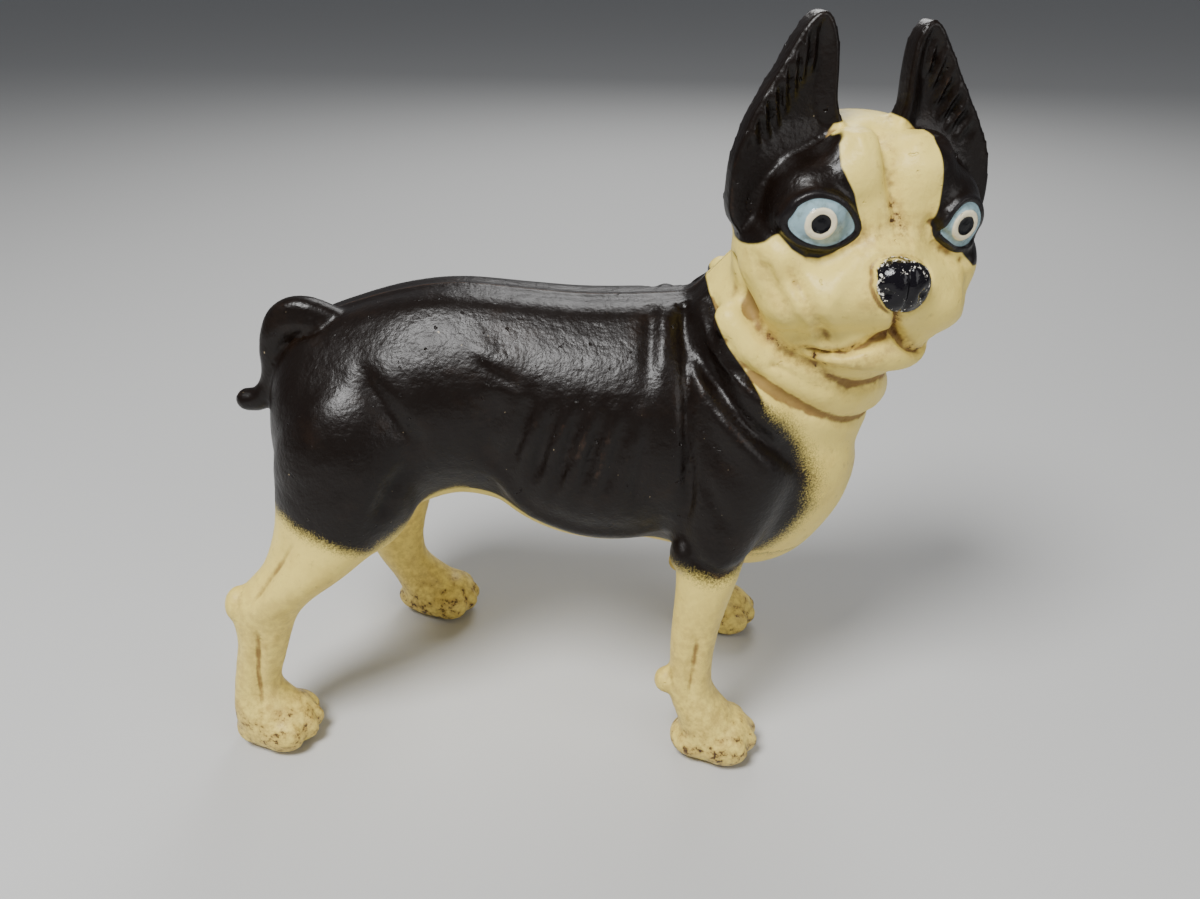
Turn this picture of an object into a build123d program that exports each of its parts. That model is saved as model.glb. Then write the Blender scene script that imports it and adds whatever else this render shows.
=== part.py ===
"""Cast iron still bank: a standing terrier with its head turned to its right.

Millimetres. The origin is on the floor under the middle of the figure, +X points at the
chest, +Y at the dog's left side and +Z up. The two half castings part on the plane y = 0
and one screw through the middle of the body holds them together.
"""

import os
from math import cos, radians, sin

from build123d import *

os.makedirs("parts", exist_ok=True)

# ---- castings ----
wall = 3.6
reach = 300.0  # larger than the figure, for the blocks that part it

# Torso stations: x, height of the middle, half height, half width.
torso_stations = [
    (-102.5, 109, 14, 12),
    (-97, 111, 29, 26),
    (-87, 113.5, 34.5, 34),
    (-72, 116, 38, 38),
    (-55, 120.5, 38.5, 37),
    (-37, 124, 37, 34),
    (-17, 121, 39, 35),
    (3, 116.7, 41.8, 37),
    (23, 115, 44, 38),
    (43, 113.5, 46.5, 38),
    (61, 109, 48, 36),
    (78, 106, 39, 31),
    (91, 107, 24, 22),
    (96, 107, 11, 10),
]
rump_core = (-97, 111, 20, 18)
chest_core = (89, 107, 18, 16)

# Neck stations, square to the neck's own line: x, y, z, half depth, half width.
neck_lean = 30.7
neck_stations = [
    (61, 0, 118, 40, 34),
    (72, 0, 140, 36.5, 32),
    (82, -2, 157, 33.5, 31),
    (89, -5, 170, 30, 30),
]

# Head masses: distance ahead of the head's axis, height, half width, half depth, half height.
head_x, head_y = 87.0, -8.0
head_turn = 76.0  # degrees that the face is turned from +X towards -Y
head_masses = [
    (-2, 190, 38.7, 32, 30),  # skull
    (1, 174, 37, 31, 24),  # cheeks
    (14, 170, 27, 23, 20),  # muzzle
    (12, 157, 20, 18, 13),  # chin
]

# Leg stations: height, x, distance from the parting plane, half length, half width.
right_hind_stations = [
    (0, -105.5, 40, 13.5, 10.5),
    (6, -106, 40, 15.5, 12.5),
    (14, -106.5, 40, 15, 12.5),
    (20, -109, 40, 12, 10.5),
    (26, -110.5, 39.5, 9, 8.5),
    (34, -108, 39, 9, 8),
    (45, -105.5, 38, 9.6, 8.5),
    (54, -104, 37, 12, 9.5),
    (62, -98.5, 35.5, 14, 12),
    (71, -88, 32.5, 16, 14.5),
    (85, -78, 28, 21, 16.5),
    (102, -73, 25, 25, 19),
    (118, -72, 22, 22, 18),
    (132, -71, 18, 14, 14),
]
left_hind_stations = [
    (0, -60.5, 40, 15, 10.5),
    (6, -61, 40, 17.5, 12.5),
    (14, -62, 40, 16.5, 12.5),
    (21, -67, 40, 13.5, 10.5),
    (28, -76, 39.5, 10.5, 9.2),
    (37, -78, 39, 11.5, 9),
    (47, -77.5, 38, 13, 9.5),
    (57, -76.5, 36.5, 15, 11),
    (66, -75.5, 34.5, 17, 13),
    (76, -74.5, 31.5, 19, 15),
    (88, -74, 28, 22.5, 17),
    (103, -73, 25, 25, 19),
    (118, -72, 22, 22, 18),
    (132, -71, 18, 14, 14),
]
right_fore_stations = [
    (0, 53, 37, 12.5, 10.5),
    (6, 53.5, 37, 14.5, 12.5),
    (14, 53, 37, 14.5, 12.5),
    (22, 48.5, 37, 11.5, 10.5),
    (29, 44, 36.5, 8.8, 8.8),
    (37, 44, 36, 8, 8.6),
    (47, 44.2, 35.5, 8.2, 8.6),
    (59, 45.7, 34.5, 8.8, 9.2),
    (70, 47.5, 33.5, 10, 10.5),
    (82, 49, 31, 12.5, 12.5),
    (96, 52, 27, 18, 15),
    (112, 55, 25, 21, 16),
    (130, 56, 21, 18, 15),
    (145, 54, 16, 11, 11),
]
left_fore_step = 5.0  # the left forepaw stands this far ahead of the right one

# Ears, seen from the front: distance from the head's middle line, height.
ear_front, ear_thickness = 8.0, 6.8  # the front face stands this far ahead of the head's axis
ear_outline = [
    (8, 204), (10, 222), (10, 238), (13, 244), (16, 246), (20, 242), (26, 232), (33, 221), (37, 212), (37, 198)
]

tail_radius = 5.2
tail_path = [(-74, 142), (-83, 150), (-92, 149), (-96.5, 141), (-97.5, 132), (-101, 124), (-108, 120.5)]
tail_y = -6.5

# ---- coin slot, through the back of the head ----
slot_x, slot_z = 87.0, 195.0
slot_length, slot_height = 34.0, 5.0
slot_start_y, slot_end_y = 12.0, 34.0

# ---- clamp screw, 1/4-20, with its bosses ----
screw_x, screw_z = -25.0, 127.0
thread_diameter = 6.1
tapped_diameter = 6.35
clearance_diameter = 7.2
boss_diameter, tapped_boss_diameter = 20.0, 16.0
seat_y, seat_diameter = 31.0, 15.6
flank_y = 36.0
screw_tip_y, tapped_end_y = -15.0, -20.5
washer_thickness, washer_diameter, washer_bore = 1.2, 14.0, 6.9
head_diameter, head_height, driver_slot = 12.0, 4.2, 1.6

# ---- cast-in locating pegs, at the rump and the chest ----
peg_places = [(-96.5, 109.0), (89.5, 107.0)]
peg_diameter, peg_length = 4.0, 3.0
socket_diameter, socket_depth = 4.4, 3.4
pad_diameter, pad_depth = 9.0, 8.0


def lofted(sections, inset=0.0):
    """One closed solid through ellipses, each given as its plane and two half sizes."""
    with BuildPart() as solid:
        for plane, half_x, half_y in sections:
            with BuildSketch(plane):
                Ellipse(half_x - inset, half_y - inset)
        loft()
    return solid.part


def torso_sections(stations):
    return [
        (Plane(origin=(x, 0, z), x_dir=(0, 1, 0), z_dir=(1, 0, 0)), half_width, half_height)
        for x, z, half_height, half_width in stations
    ]


def neck_sections():
    lean = radians(neck_lean)
    return [
        (Plane(origin=(x, y, z), x_dir=(0, 1, 0), z_dir=(sin(lean), 0, cos(lean))), half_width, half_depth)
        for x, y, z, half_depth, half_width in neck_stations
    ]


def ellipsoid(half_x, half_y, half_z):
    with BuildPart() as solid:
        Sphere(1)
        scale(by=(half_x, half_y, half_z))
    return solid.part


def head_form(masses, inset=0.0):
    """The head as one solid: ellipsoids turned to face the way that the head is turned."""
    turn = radians(head_turn)
    turned = []
    for ahead, z, half_width, half_depth, half_height in masses:
        place = (head_x + ahead * cos(turn), head_y - ahead * sin(turn), z)
        mass = ellipsoid(half_width - inset, half_depth - inset, half_height - inset)
        turned.append(mass.locate(Location(place, (0, 0, 90 - head_turn))))
    with BuildPart() as solid:
        add(turned)
    return solid.part


def leg_sections(stations, side, step=0.0):
    return [
        (Plane(origin=(x + step, side * out, z)), half_length, half_width)
        for z, x, out, half_length, half_width in stations
    ]


# ---- the figure's outer form and its hollow ----
torso = lofted(torso_sections(torso_stations))
neck = lofted(neck_sections())
head = head_form(head_masses)
right_hind = lofted(leg_sections(right_hind_stations, -1))
left_hind = lofted(leg_sections(left_hind_stations, 1))
right_fore = lofted(leg_sections(right_fore_stations, -1))
left_fore = lofted(leg_sections(right_fore_stations, 1, left_fore_step))

torso_core = [
    (plane, half_x - wall, half_y - wall) for plane, half_x, half_y in torso_sections(torso_stations[2:-2])
]
torso_hollow = lofted(torso_sections([rump_core]) + torso_core + torso_sections([chest_core]))
neck_hollow = lofted(neck_sections(), wall)
head_hollow = head_form(head_masses, wall)

# ---- right half: the face, both ears, the tail and the tapped boss ----
with BuildPart() as tail:
    with BuildLine():
        tail_curve = Spline(*[(x, tail_y, z) for x, z in tail_path])
    with BuildSketch(Plane(origin=tail_curve @ 0, z_dir=tail_curve % 0)):
        Circle(tail_radius)
    sweep()
    with Locations(tail_curve @ 1):
        Sphere(tail_radius)

ahead_x, ahead_y = cos(radians(head_turn)), -sin(radians(head_turn))
ear_plane = Plane(
    origin=(head_x + ear_front * ahead_x, head_y + ear_front * ahead_y, 0),
    x_dir=(-ahead_y, ahead_x, 0),
    z_dir=(ahead_x, ahead_y, 0),
)
with BuildPart() as ears:
    for side in (-1, 1):
        with BuildSketch(ear_plane):
            with BuildLine():
                Polyline(*[(side * out, z) for out, z in ear_outline], close=True)
            make_face()
    extrude(amount=-ear_thickness)

with BuildPart() as right_half:
    add([torso, neck, head, right_hind, right_fore])
    with Locations((0, reach / 2, 0)):
        Box(2 * reach, reach, 2 * reach, mode=Mode.SUBTRACT)
    add([tail.part, ears.part])
    add([torso_hollow, neck_hollow, head_hollow], mode=Mode.SUBTRACT)
    with Locations(Location((screw_x, -0.5, screw_z), (90, 0, 0))):
        Cylinder(tapped_boss_diameter / 2, flank_y - 4, align=(Align.CENTER, Align.CENTER, Align.MIN))
    for peg_x, peg_z in peg_places:
        with Locations(Location((peg_x, 0, peg_z), (90, 0, 0))):
            Cylinder(pad_diameter / 2, pad_depth, align=(Align.CENTER, Align.CENTER, Align.MIN))
    with Locations(Location((screw_x, 0, screw_z), (90, 0, 0))):
        Cylinder(
            tapped_diameter / 2, -tapped_end_y, align=(Align.CENTER, Align.CENTER, Align.MIN), mode=Mode.SUBTRACT
        )
    for peg_x, peg_z in peg_places:
        with Locations(Location((peg_x, 0, peg_z), (90, 0, 0))):
            Cylinder(
                socket_diameter / 2, socket_depth, align=(Align.CENTER, Align.CENTER, Align.MIN), mode=Mode.SUBTRACT
            )

# ---- left half: the back of the head with the coin slot, and the screw's seat ----
with BuildPart() as left_half:
    add([torso, neck, head, left_hind, left_fore])
    with Locations((0, -reach / 2, 0)):
        Box(2 * reach, reach, 2 * reach, mode=Mode.SUBTRACT)
    add([torso_hollow, neck_hollow, head_hollow], mode=Mode.SUBTRACT)
    with Locations(Location((screw_x, 0.5, screw_z), (-90, 0, 0))):
        Cylinder(boss_diameter / 2, flank_y - 4, align=(Align.CENTER, Align.CENTER, Align.MIN))
    for peg_x, peg_z in peg_places:
        with Locations(Location((peg_x, 0, peg_z), (-90, 0, 0))):
            Cylinder(pad_diameter / 2, pad_depth, align=(Align.CENTER, Align.CENTER, Align.MIN))
        with Locations(Location((peg_x, -peg_length, peg_z), (-90, 0, 0))):
            Cylinder(peg_diameter / 2, peg_length + 1, align=(Align.CENTER, Align.CENTER, Align.MIN))
    with Locations(Location((screw_x, 0, screw_z), (-90, 0, 0))):
        Cylinder(
            clearance_diameter / 2, flank_y + 4, align=(Align.CENTER, Align.CENTER, Align.MIN), mode=Mode.SUBTRACT
        )
    with Locations(Location((screw_x, seat_y, screw_z), (-90, 0, 0))):
        Cylinder(seat_diameter / 2, 12, align=(Align.CENTER, Align.CENTER, Align.MIN), mode=Mode.SUBTRACT)
    with Locations((slot_x, (slot_start_y + slot_end_y) / 2, slot_z)):
        Box(slot_length, slot_end_y - slot_start_y, slot_height, mode=Mode.SUBTRACT)

# ---- washer and screw ----
washer_plane = Plane(origin=(screw_x, seat_y, screw_z), x_dir=(1, 0, 0), z_dir=(0, 1, 0))
with BuildPart() as screw_washer:
    with BuildSketch(washer_plane):
        Circle(washer_diameter / 2)
        Circle(washer_bore / 2, mode=Mode.SUBTRACT)
    extrude(amount=washer_thickness)

under_head_y = seat_y + washer_thickness
head_plane = Plane(origin=(screw_x, under_head_y, screw_z), x_dir=(1, 0, 0), z_dir=(0, 1, 0))
tip_plane = Plane(origin=(screw_x, screw_tip_y, screw_z), x_dir=(1, 0, 0), z_dir=(0, 1, 0))
with BuildPart() as clamp_screw:
    with BuildSketch(tip_plane):
        Circle(thread_diameter / 2)
    extrude(amount=under_head_y - screw_tip_y)
    chamfer(clamp_screw.faces().sort_by(Axis.Y)[0].edges(), 0.8)
    with BuildSketch(head_plane):
        Circle(head_diameter / 2)
    extrude(amount=head_height)
    fillet(clamp_screw.faces().sort_by(Axis.Y)[-1].edges(), 3.0)
    with BuildSketch(head_plane.offset(head_height)):
        Rectangle(head_diameter + 2, driver_slot)
    extrude(amount=-1.8, mode=Mode.SUBTRACT)

pieces = {
    "right_half": right_half,
    "left_half": left_half,
    "screw_washer": screw_washer,
    "clamp_screw": clamp_screw,
}
for name, piece in pieces.items():
    piece.part.label = name
    export_step(piece.part, f"parts/{name}.step")
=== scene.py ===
import math

import bmesh
import bpy
import numpy as np
from mathutils import Matrix, Vector


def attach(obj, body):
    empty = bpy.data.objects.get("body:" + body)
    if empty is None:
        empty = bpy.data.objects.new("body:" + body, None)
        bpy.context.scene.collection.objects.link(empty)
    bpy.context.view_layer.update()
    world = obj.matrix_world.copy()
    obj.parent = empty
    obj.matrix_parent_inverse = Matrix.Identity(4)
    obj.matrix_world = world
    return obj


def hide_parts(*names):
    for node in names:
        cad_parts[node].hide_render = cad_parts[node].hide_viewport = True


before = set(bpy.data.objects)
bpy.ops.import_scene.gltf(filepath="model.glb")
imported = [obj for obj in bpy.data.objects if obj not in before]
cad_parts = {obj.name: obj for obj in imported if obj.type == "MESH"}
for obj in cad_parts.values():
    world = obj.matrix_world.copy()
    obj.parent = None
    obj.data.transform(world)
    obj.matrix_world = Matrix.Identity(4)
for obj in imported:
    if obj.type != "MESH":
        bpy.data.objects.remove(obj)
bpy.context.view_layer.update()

# ---- Right half: the pattern -----------------------------------------------------------
# The foundry carves the whole dog as one wooden pattern before it is parted lengthwise.
# The big masses are roughed out first and blended. Lengths are in millimetres until the
# pattern is parted, with the dog's chest towards +X and its left side towards +Y.

millimetre = 0.001
rough_grain, fine_grain = 2.0, 1.2
head_x, head_y, head_turn, head_roll = 87.0, -8.0, math.radians(14), math.radians(4)
# The head's own axes: across towards its left, back, and up.
head_level = Matrix.Translation((head_x, head_y, 0)) @ Matrix.Rotation(head_turn, 4, "Z")
head_place = head_level @ Matrix.Translation((0, 0, 190)) @ Matrix.Rotation(head_roll, 4, "Y")
head_place = head_place @ Matrix.Translation((0, 0, -190))


def eased(stations, steps=4):
    """Stations with steps between each pair, on a smooth curve through them."""
    rows = np.array(stations, float)
    rows = np.vstack([2 * rows[0] - rows[1], rows, 2 * rows[-1] - rows[-2]])
    curve = []
    for before, start, end, after in zip(rows, rows[1:], rows[2:], rows[3:]):
        for t in np.arange(steps) / steps:
            curve.append(0.5 * (
                2 * start + (end - before) * t
                + (2 * before - 5 * start + 4 * end - after) * t ** 2
                + (3 * start - before - 3 * end + after) * t ** 3
            ))
    return np.array(curve + [rows[-2]])


def ring(middle, across, along, half_across, half_along):
    """Takes the unit circle to an ellipse round middle, in the plane of two directions."""
    across, along = Vector(across).normalized(), Vector(along).normalized()
    matrix = Matrix((across * half_across, along * half_along, across.cross(along))).transposed().to_4x4()
    matrix.translation = middle
    return matrix


def add_loft(bm, rings):
    """A closed skin through ellipses, each given as a matrix from ring()."""
    around = [Vector((math.cos(angle), math.sin(angle), 0)) for angle in np.arange(32) * math.tau / 32]
    loops = [[bm.verts.new(matrix @ spoke) for spoke in around] for matrix in rings]
    for lower, upper in zip(loops, loops[1:]):
        for place in range(32):
            bm.faces.new((lower[place - 1], lower[place], upper[place], upper[place - 1]))
    bm.faces.new(loops[0])
    bm.faces.new(loops[-1])


ball = bpy.data.meshes.new("ball")
turning = bmesh.new()
bmesh.ops.create_uvsphere(turning, u_segments=24, v_segments=16, radius=1)
turning.to_mesh(ball)
turning.free()


def add_ball(bm, middle, half_sizes, place=Matrix(), lean=0, about="Y"):
    """An ellipsoid, leaning by some degrees about one of its own axes."""
    matrix = place @ Matrix.Translation(middle) @ Matrix.Rotation(math.radians(lean), 4, about)
    mass = ball.copy()
    mass.transform(matrix @ Matrix.Diagonal((*half_sizes, 1)))
    bm.from_mesh(mass)
    bpy.data.meshes.remove(mass)


def add_rope(bm, path):
    """Balls strung close together along a path of x, y, z, radius."""
    for x, y, z, radius in path:
        add_ball(bm, (x, y, z), (radius, radius, radius))


def settled(bm, grain, passes, also=None):
    """The masses in bm, and those in another mesh, joined into one skin of that grain and blended."""
    bmesh.ops.recalc_face_normals(bm, faces=bm.faces)
    if also:
        bm.from_mesh(also)
    mesh = bpy.data.meshes.new("masses")
    bm.to_mesh(mesh)
    bm.free()
    block = bpy.data.objects.new("masses", mesh)
    bpy.context.scene.collection.objects.link(block)
    remesh = block.modifiers.new("join", "REMESH")
    remesh.mode, remesh.voxel_size, remesh.adaptivity = "VOXEL", grain, 0
    blend = block.modifiers.new("blend", "SMOOTH")
    blend.factor, blend.iterations = 0.5, passes
    skin = bpy.data.meshes.new_from_object(block.evaluated_get(bpy.context.evaluated_depsgraph_get()))
    bpy.data.objects.remove(block)
    bpy.data.meshes.remove(mesh)
    return skin


# Torso stations: x, height of the middle, half height, half width.
torso_stations = [
    (-102, 110, 14, 12), (-96.5, 112, 28, 25), (-87, 114, 34, 33), (-72, 116, 38, 36),
    (-55, 120.5, 38.5, 36),
    (-37, 124.5, 37, 33), (-17, 121.7, 38.5, 34), (3, 117.5, 41.2, 37), (23, 116, 43, 38),
    (43, 114, 46, 37),
    (61, 109, 48, 35), (78, 106, 39, 31), (91, 107, 24, 22), (97, 107, 11, 10),
]
# Neck stations: x, y, z, half depth, half width.
neck_stations = [(57, 0, 114, 41, 34), (68, 0, 138, 36.5, 32), (77.5, -2, 155, 33, 31), (86, -5, 170, 29, 29)]
# Leg stations: height, x, distance from the parting plane, half length, half width.
hind_top = [(85, -78, 28, 21, 16), (102, -73, 25, 24, 19), (118, -72, 22, 21, 18), (132, -71, 18, 13, 14)]
fore_top = [(96, 52, 27, 18, 15), (112, 55, 25, 21, 16), (130, 56, 21, 18, 15), (145, 54, 16, 11, 11)]
leg_stations = {
    ("hind", -1): [
        (1, -105, 40, 13, 10), (7, -106, 40, 14, 11.5), (15, -108, 40, 12.5, 10.5),
        (22, -110.5, 39.5, 9, 8.5),
        (28, -110, 39.5, 8.4, 7.8), (35, -108, 39, 8.9, 7.6), (45, -105.5, 38, 9.6, 8.2),
        (54, -104, 37, 12, 9), (62, -98.5, 35.5, 14, 11.5), (71, -88, 32.5, 16, 14), *hind_top,
    ],
    ("hind", 1): [
        (1, -61, 40, 14, 10), (7, -62, 40, 15, 11.5), (14, -65, 40, 14, 10.5), (21, -71, 40, 11.5, 9),
        (28, -76, 39.5, 10.5, 8.5), (37, -78, 39, 11.5, 8.6), (47, -77.5, 38, 13, 9.2),
        (57, -76.5, 36.5, 15, 11), (66, -75.5, 34.5, 17, 13), (76, -75, 31.5, 19, 15), *hind_top,
    ],
    ("fore", -1): [
        (1, 53, 37, 11, 10), (7, 53, 37, 12, 11.5), (15, 51, 37, 11, 10.5), (22, 47, 37, 9.5, 9.2),
        (29, 44, 36.5, 8.2, 8.4), (37, 44, 36, 7.6, 8.2), (47, 44.2, 35.5, 8, 8.4),
        (59, 45.7, 34.5, 8.8, 9.2),
        (70, 47.5, 33.5, 10, 10.5), (82, 49, 31, 12.5, 12.5), *fore_top,
    ],
}
left_fore_step = 5
leg_stations["fore", 1] = [(z, x + left_fore_step, *rest) for z, x, *rest in leg_stations["fore", -1]]

# Head masses in the head's own axes: middle, half sizes, and a lean about the cross axis.
head_masses = [
    ((-0.8, 4, 190.5), (36.8, 30.5, 27.5), 0),  # skull
    ((-0.8, -2, 176), (35, 28, 21), 0),  # jaws
    ((0, -15, 173), (28, 21, 15), 0),  # muzzle
    ((0, -19, 182), (14, 14, 9), 0),  # bridge
    ((2, -17.5, 154.5), (20.5, 15.5, 9), 0),  # chin
    ((-3, 2, 160), (25, 22, 12), 0),  # throat
]

rough = bmesh.new()
add_loft(rough, [
    ring((x, 0, z), (0, 1, 0), (0, 0, 1), wide, high) for x, z, high, wide in eased(torso_stations)
])
add_loft(rough, [
    ring((x, y, z), (0, 1, 0), (-0.86, 0, 0.51), wide, deep) for x, y, z, deep, wide in eased(neck_stations)
])
for (_, side), stations in leg_stations.items():
    add_loft(rough, [
        ring((x, side * out, z), (1, 0, 0), (0, 1, 0), long, wide)
        for z, x, out, long, wide in eased(stations)
    ])
for middle, sizes, lean in head_masses:
    add_ball(rough, middle, sizes, head_place, lean, "X")
for side in (-1, 1):
    add_ball(rough, (-72, side * 25, 105), (25, 18.5, 34), lean=10)  # haunch
    add_ball(rough, (54, side * 24, 112), (19, 15.5, 37), lean=14)  # shoulder
    add_ball(rough, (12, side * 13, 108), (44, 25.5, 31), lean=4)  # ribs
    add_ball(rough, (side * 15 - 1, -16.5, 170), (17.5, 17, 12), head_place, side * 12)  # flew
    add_ball(rough, (side * 24.5 - 1.4, -7, 178), (12.5, 19, 15), head_place)  # cheek
    add_ball(rough, (side * 19.3 - 1.2, -13, 195), (12.9, 14.6, 12.6), head_place)  # eye socket
    add_ball(rough, (side * 9.5, -15.5, 204), (10, 10.5, 13), head_place, side * 10)  # brow
    add_rope(rough, eased([
        (51, side * 24, 160, 6), (57, side * 26, 152, 7), (68, side * 25.5, 143, 7.5),
        (81, side * 20.5, 135, 8),
        (91, side * 12.5, 131, 8.5), (96.5, side * 4, 131, 8.5),
    ], 3))  # dewlap
body_masses = settled(rough, rough_grain, 7)

# Eyes, nose, ears, paws and tail are added to the blended body, and the whole is brought
# to the finer grain that the carving needs.
fine = bmesh.new()
for across, half in ((-21, 12.2), (18.8, 11.2)):
    add_ball(fine, (across, -16, 193), (half, half + 0.8, half - 0.6), head_place)  # eyeball
add_ball(fine, (0.6, -33, 177.5), (8.4, 5.6, 7.4), head_level)  # nose

# Ears, seen from the front: distance across the head, height. Their flat faces look ahead.
ear_front, ear_back = 8.2, 0.8
right_ear = eased([
    (-8, 208), (-9.4, 215), (-12.2, 222), (-12.9, 231), (-13.9, 238.6), (-15.8, 243.6), (-18.5, 245.8),
    (-21.6, 244.2),
    (-25, 240), (-29.8, 231.5), (-36.2, 220.5), (-40.4, 209.5), (-41.6, 200), (-40.5, 190), (-30, 182),
    (-15, 195),
], 3)
left_ear = eased([
    (4, 207), (5.2, 214), (7.6, 220), (7.8, 229), (8.4, 236.4), (10.4, 241.2), (13.4, 242.8), (16.6, 240),
    (20.6, 233.5), (25, 226), (30, 218), (34.6, 210), (37, 202), (37.4, 192), (34, 184), (28, 182),
    (13, 195),
], 3)
for ear in (right_ear, left_ear):
    outline = [fine.verts.new(head_level @ Vector((across, -ear_front, z))) for across, z in ear]
    front = fine.faces.new(outline)
    grown = bmesh.ops.extrude_face_region(fine, geom=[front], use_keep_orig=True)
    back = [part for part in grown["geom"] if isinstance(part, bmesh.types.BMVert)]
    bmesh.ops.translate(fine, verts=back, vec=head_level.to_3x3() @ Vector((0, ear_front - ear_back, 0)))

# Paws: the place of each one's middle, with four toes ahead of the pad and the heel behind.
paw_places = [(-105.5, -40), (-61, 40), (53, -37), (53 + left_fore_step, 37)]
for x, y in paw_places:
    add_ball(fine, (x + 1, y, 9), (13, 11.6, 9.4))
    add_ball(fine, (x - 5.5, y, 6), (10, 10, 6.4))
    for place in (-1.5, -0.5, 0.5, 1.5):
        add_ball(fine, (x + 8.6 - 2.4 * abs(place) ** 1.5, y + 6 * place, 7.2), (8.2, 3.9, 6.4))
add_ball(fine, (-67, 40, 7), (13, 9.5, 7))  # left hind heel
for side, lead in ((-1, 0), (1, left_fore_step)):
    add_ball(fine, (35.8 + lead, side * 37, 31), (4.6, 4.6, 4.8))  # dew claw
    add_ball(fine, (42 + lead, side * 35, 83), (7, 7, 8))  # elbow
add_ball(fine, (-112.5, -37.5, 57), (5, 6, 7))  # right hock

tail_path = eased([
    (-70, -6.6, 142, 6.6), (-79, -6.6, 148.5, 6.6), (-88, -6.8, 151.6, 6.4), (-95, -7, 147.5, 5.9),
    (-98, -7, 140, 5.3), (-99, -7, 133, 4.7), (-101.5, -7, 126.5, 4.3), (-106, -7, 121.8, 4.2),
    (-110.5, -7, 121.2, 4.0),
], 6)
add_rope(fine, tail_path)
pattern = settled(fine, fine_grain, 3, body_masses)
bpy.data.meshes.remove(body_masses)

# The face and the ears are divided again for their finer carving.
carved = bmesh.new()
carved.from_mesh(pattern)
towards_head = np.array(head_level.inverted())


def head_view(points):
    """Distance across the head, ahead of its axis, and height."""
    local = points @ towards_head[:3, :3].T + towards_head[:3, 3]
    return local[:, 0], -local[:, 1], local[:, 2]


middles = np.array([face.calc_center_median() for face in carved.faces])
across, ahead, up = head_view(middles)
closer = ((up > 146) & (ahead > 12) & (np.abs(across) < 36)) | ((up > 212) & (ahead > 4))
faces = [face for face, near in zip(carved.faces, closer) if near]
edges = list({edge for face in faces for edge in face.edges})
cut = bmesh.ops.subdivide_edges(carved, edges=edges, cuts=1, use_grid_fill=True)
newer = [part for part in cut["geom_inner"] if isinstance(part, bmesh.types.BMVert)]
bmesh.ops.smooth_vert(carved, verts=newer, factor=0.5, use_axis_x=True, use_axis_y=True, use_axis_z=True)
carved.to_mesh(pattern)
carved.free()


def points_of(mesh, what="co"):
    values = np.empty(len(mesh.vertices) * 3, np.float32)
    mesh.vertices.foreach_get(what, values)
    return values.reshape(-1, 3).astype(float)


def along_path(points, path):
    """How far each point is from a path, and how far along it the nearest place is, from 0 to 1."""
    path = np.array(path, float)
    nearest, along = np.full(len(points), 1e6), np.zeros(len(points))
    for place, (start, end) in enumerate(zip(path, path[1:])):
        span = end - start
        t = np.clip((points - start) @ span / (span @ span), 0, 1)
        distance = np.linalg.norm(points - start - t[:, None] * span, axis=1)
        along = np.where(distance < nearest, (place + t) / (len(path) - 1), along)
        nearest = np.minimum(nearest, distance)
    return nearest, along


def path_distance(points, path):
    return along_path(points, path)[0]


def stroke(points, width, path, fade=0.35):
    """One gouge stroke: 1 along its path, less beside it and towards both ends."""
    distance, along = along_path(points, path)
    return np.exp(-(distance / width) ** 2) * smooth_step(np.minimum(along, 1 - along), -0.12, fade)


def depth_inside(points, outline):
    """Distance from a closed outline, positive inside it and negative outside."""
    outline = np.array(outline, float)
    within = np.zeros(len(points), bool)
    for (x1, z1), (x2, z2) in zip(outline, np.roll(outline, -1, 0)):
        crosses = (z1 > points[:, 1]) != (z2 > points[:, 1])
        within ^= crosses & (points[:, 0] < x1 + (points[:, 1] - z1) * (x2 - x1) / (z2 - z1 + 1e-9))
    return path_distance(points, np.vstack([outline, outline[:1]])) * np.where(within, 1, -1)


def rounded(outline):
    """A closed outline with its corners eased."""
    rows = [*outline, *outline[:3]]
    return eased(rows, 4)[4:-8]


def smooth_step(values, low, high):
    t = np.clip((values - low) / (high - low), 0, 1)
    return t * t * (3 - 2 * t)


screw_x, screw_z = -25.0, 127.0
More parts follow.
